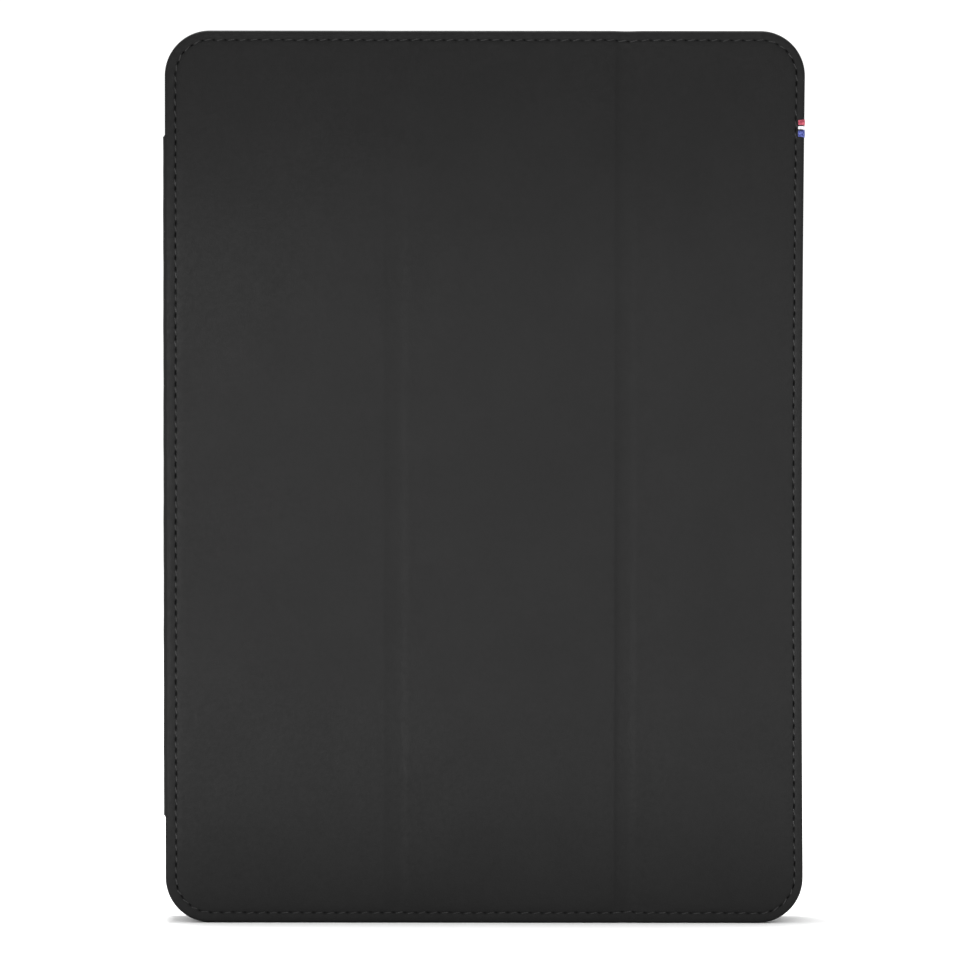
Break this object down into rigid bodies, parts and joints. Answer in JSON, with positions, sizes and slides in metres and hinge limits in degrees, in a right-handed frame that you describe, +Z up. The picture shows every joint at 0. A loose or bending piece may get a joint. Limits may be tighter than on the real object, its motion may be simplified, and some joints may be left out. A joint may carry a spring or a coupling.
{
  "type": "tablet case",
  "caption": "Slim folding leather cover for a tablet: a stitched flap with upright creases, a narrow spine, and a hard tray with cut-outs on a stitched back.",
  "frame": {"origin": "middle of the case's box on the surface it stands on, with the case closed and upright on its short edge", "axes": "+X from the spine to the flap's free edge, +Y from the flap to the back, +Z up the long side"},
  "size_m": [0.1844, 0.015, 0.2565],
  "materials": {
    "leather": "fine grained, satin",
    "lining": "brushed microfibre",
    "pad_fabric": "brushed microfibre",
    "thread": "twisted polyester",
    "board": "pressed paper board",
    "tray_plastic": "fine moulded texture",
    "adhesive": "double-sided film",
    "steel": "rolled",
    "magnet": "nickel plated",
    "tag_ribbon": "woven ribbon with three plain stripes"
  },
  "bodies": {
    "back": {"tray": "tray_plastic", "tray_pad": "pad_fabric", "tray_adhesive": "adhesive", "back_board": "board", "stand_plates": "steel", "back_leather": "leather", "back_stitching": "thread"},
    "spine": {"spine_leather": "leather", "spine_board": "board", "spine_lining": "lining"},
    "inner_panel": {"inner_panel_leather": "leather", "inner_panel_board": "board", "inner_panel_lining": "lining", "inner_panel_stitching": "thread"},
    "middle_panel": {"middle_panel_leather": "leather", "middle_panel_board": "board", "middle_panel_lining": "lining", "middle_panel_stitching": "thread"},
    "outer_panel": {"outer_panel_leather": "leather", "outer_panel_board": "board", "outer_panel_lining": "lining", "outer_panel_stitching": "thread", "closure_magnets": "magnet", "wake_magnet": "magnet", "edge_tag": "tag_ribbon"}
  },
  "joints": [
    {"name": "spine_rear_fold", "type": "hinge", "parent": "back", "child": "spine", "pos_m": [-0.09225, 0.0075, 0.12865], "axis": [0, 0, -1], "range_deg": [0, 178]},
    {"name": "spine_front_fold", "type": "hinge", "parent": "spine", "child": "inner_panel", "pos_m": [-0.09225, -0.0075, 0.12865], "axis": [0, 0, -1], "range_deg": [0, 132]},
    {"name": "inner_crease", "type": "hinge", "parent": "inner_panel", "child": "middle_panel", "pos_m": [-0.0251, -0.0075, 0.12825], "axis": [0, 0, -1], "range_deg": [0, 124]},
    {"name": "outer_crease", "type": "hinge", "parent": "middle_panel", "child": "outer_panel", "pos_m": [0.0408, -0.0075, 0.12825], "axis": [0, 0, -1], "range_deg": [0, 106.1]}
  ],
  "couplings": [
    {"joint": "outer_crease", "follows": "inner_crease", "ratio": 0.855}
  ]
}
